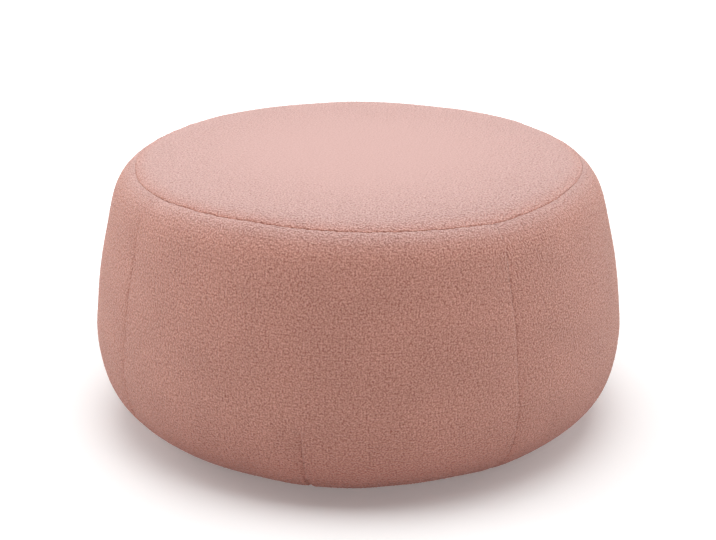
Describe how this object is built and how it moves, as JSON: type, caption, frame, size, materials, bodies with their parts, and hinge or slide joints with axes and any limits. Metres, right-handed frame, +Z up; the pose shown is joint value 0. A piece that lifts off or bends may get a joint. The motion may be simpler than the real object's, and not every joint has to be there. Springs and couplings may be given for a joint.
{
  "type": "round boucle pouf",
  "caption": "Round upholstered pouf in dusty pink boucle, with a slightly crowned top, a bulging panelled side that turns under, and a dart at the foot of each side panel.",
  "frame": {"origin": "middle of the base, on the floor", "axes": "+Z up; -Y is the middle of the front side panel; the upright seams are on the diagonals between X and Y"},
  "size_m": [0.7011, 0.7018, 0.356],
  "materials": {
    "boucle": "looped boucle pile, matt with a soft pale sheen",
    "base_cloth": "plain woven base cloth, matt"
  },
  "bodies": {
    "root": {"top_panel": "boucle", "side_panel_front": "boucle", "side_panel_right": "boucle", "side_panel_back": "boucle", "side_panel_left": "boucle", "base_panel": "base_cloth"}
  },
  "joints": []
}
